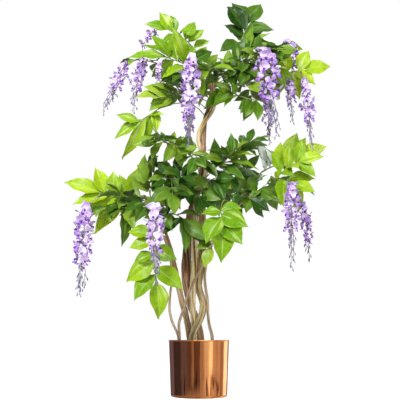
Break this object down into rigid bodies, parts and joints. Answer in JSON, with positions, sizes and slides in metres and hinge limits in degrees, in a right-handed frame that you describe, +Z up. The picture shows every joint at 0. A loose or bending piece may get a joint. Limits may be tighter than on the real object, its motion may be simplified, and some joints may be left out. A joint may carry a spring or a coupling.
{
  "type": "potted wisteria tree",
  "caption": "Wisteria tree of twisted woody stems with two tiers of leaf sprays and hanging lilac flower racemes, standing in a polished copper cylinder pot.",
  "frame": {"origin": "centre of the pot's flat underside", "axes": "+Z up along the pot's axis, -Y towards the front, +X to the right seen from the front"},
  "size_m": [0.9655, 0.6854, 1.5006],
  "materials": {
    "copper": "polished",
    "fill": "matte",
    "moss": "matte",
    "bark_pale": "matte",
    "bark_brown": "matte",
    "leaf_lime": "satin",
    "leaf_green": "satin",
    "leaf_dark": "satin",
    "petal_lilac": "matte"
  },
  "bodies": {
    "root": {"pot": "copper", "pot_fill": "fill", "moss": "moss", "trunk_main": "bark_pale", "trunk_twist": "bark_brown", "stem_left": "bark_brown", "stem_loop": "bark_brown", "vine_left_outer": "bark_pale", "vine_left_inner": "bark_brown", "vine_right": "bark_brown", "spray_lower_left_tip": "leaf_lime", "spray_lower_left_rise": "leaf_dark", "spray_lower_left_low": "leaf_dark", "spray_lower_left_front": "leaf_lime", "spray_middle_left": "leaf_lime", "spray_lower_left_crown": "leaf_green", "spray_lower_left_inner": "leaf_dark", "spray_lower_left_under": "leaf_dark", "spray_lower_centre_crown": "leaf_green", "spray_lower_centre_front": "leaf_dark", "spray_hanging_front": "leaf_lime", "spray_lower_front_low": "leaf_green", "spray_lower_right_tip": "leaf_lime", "spray_lower_right_low": "leaf_lime", "spray_lower_right_inner": "leaf_dark", "spray_lower_right_side": "leaf_green", "spray_lower_back_left": "leaf_green", "spray_lower_back_centre": "leaf_green", "spray_lower_back_right": "leaf_dark", "spray_upper_left_crown": "leaf_lime", "spray_upper_left": "leaf_lime", "spray_upper_left_mid": "leaf_green", "spray_upper_left_low": "leaf_green", "spray_upper_front_left": "leaf_green", "spray_top_right": "leaf_dark", "spray_upper_centre": "leaf_green", "spray_upper_right_tip": "leaf_lime", "spray_upper_right_back": "leaf_green", "spray_upper_front_right": "leaf_dark", "spray_upper_hanging": "leaf_green", "spray_upper_right_low": "leaf_green", "spray_upper_back_left": "leaf_dark", "spray_upper_back_centre": "leaf_green", "spray_upper_back_right": "leaf_dark", "raceme_upper_left_outer": "petal_lilac", "raceme_upper_left_inner": "petal_lilac", "raceme_upper_left_small": "petal_lilac", "raceme_upper_left_top": "petal_lilac", "raceme_upper_centre": "petal_lilac", "raceme_upper_right_front": "petal_lilac", "raceme_upper_right_middle": "petal_lilac", "raceme_upper_right_top": "petal_lilac", "raceme_upper_right_outer": "petal_lilac", "raceme_lower_left": "petal_lilac", "raceme_lower_front": "petal_lilac", "raceme_lower_right_inner": "petal_lilac", "raceme_lower_right_outer": "petal_lilac", "raceme_back_upper_centre": "petal_lilac", "raceme_back_upper_right": "petal_lilac", "raceme_back_lower_left": "petal_lilac"}
  },
  "joints": []
}
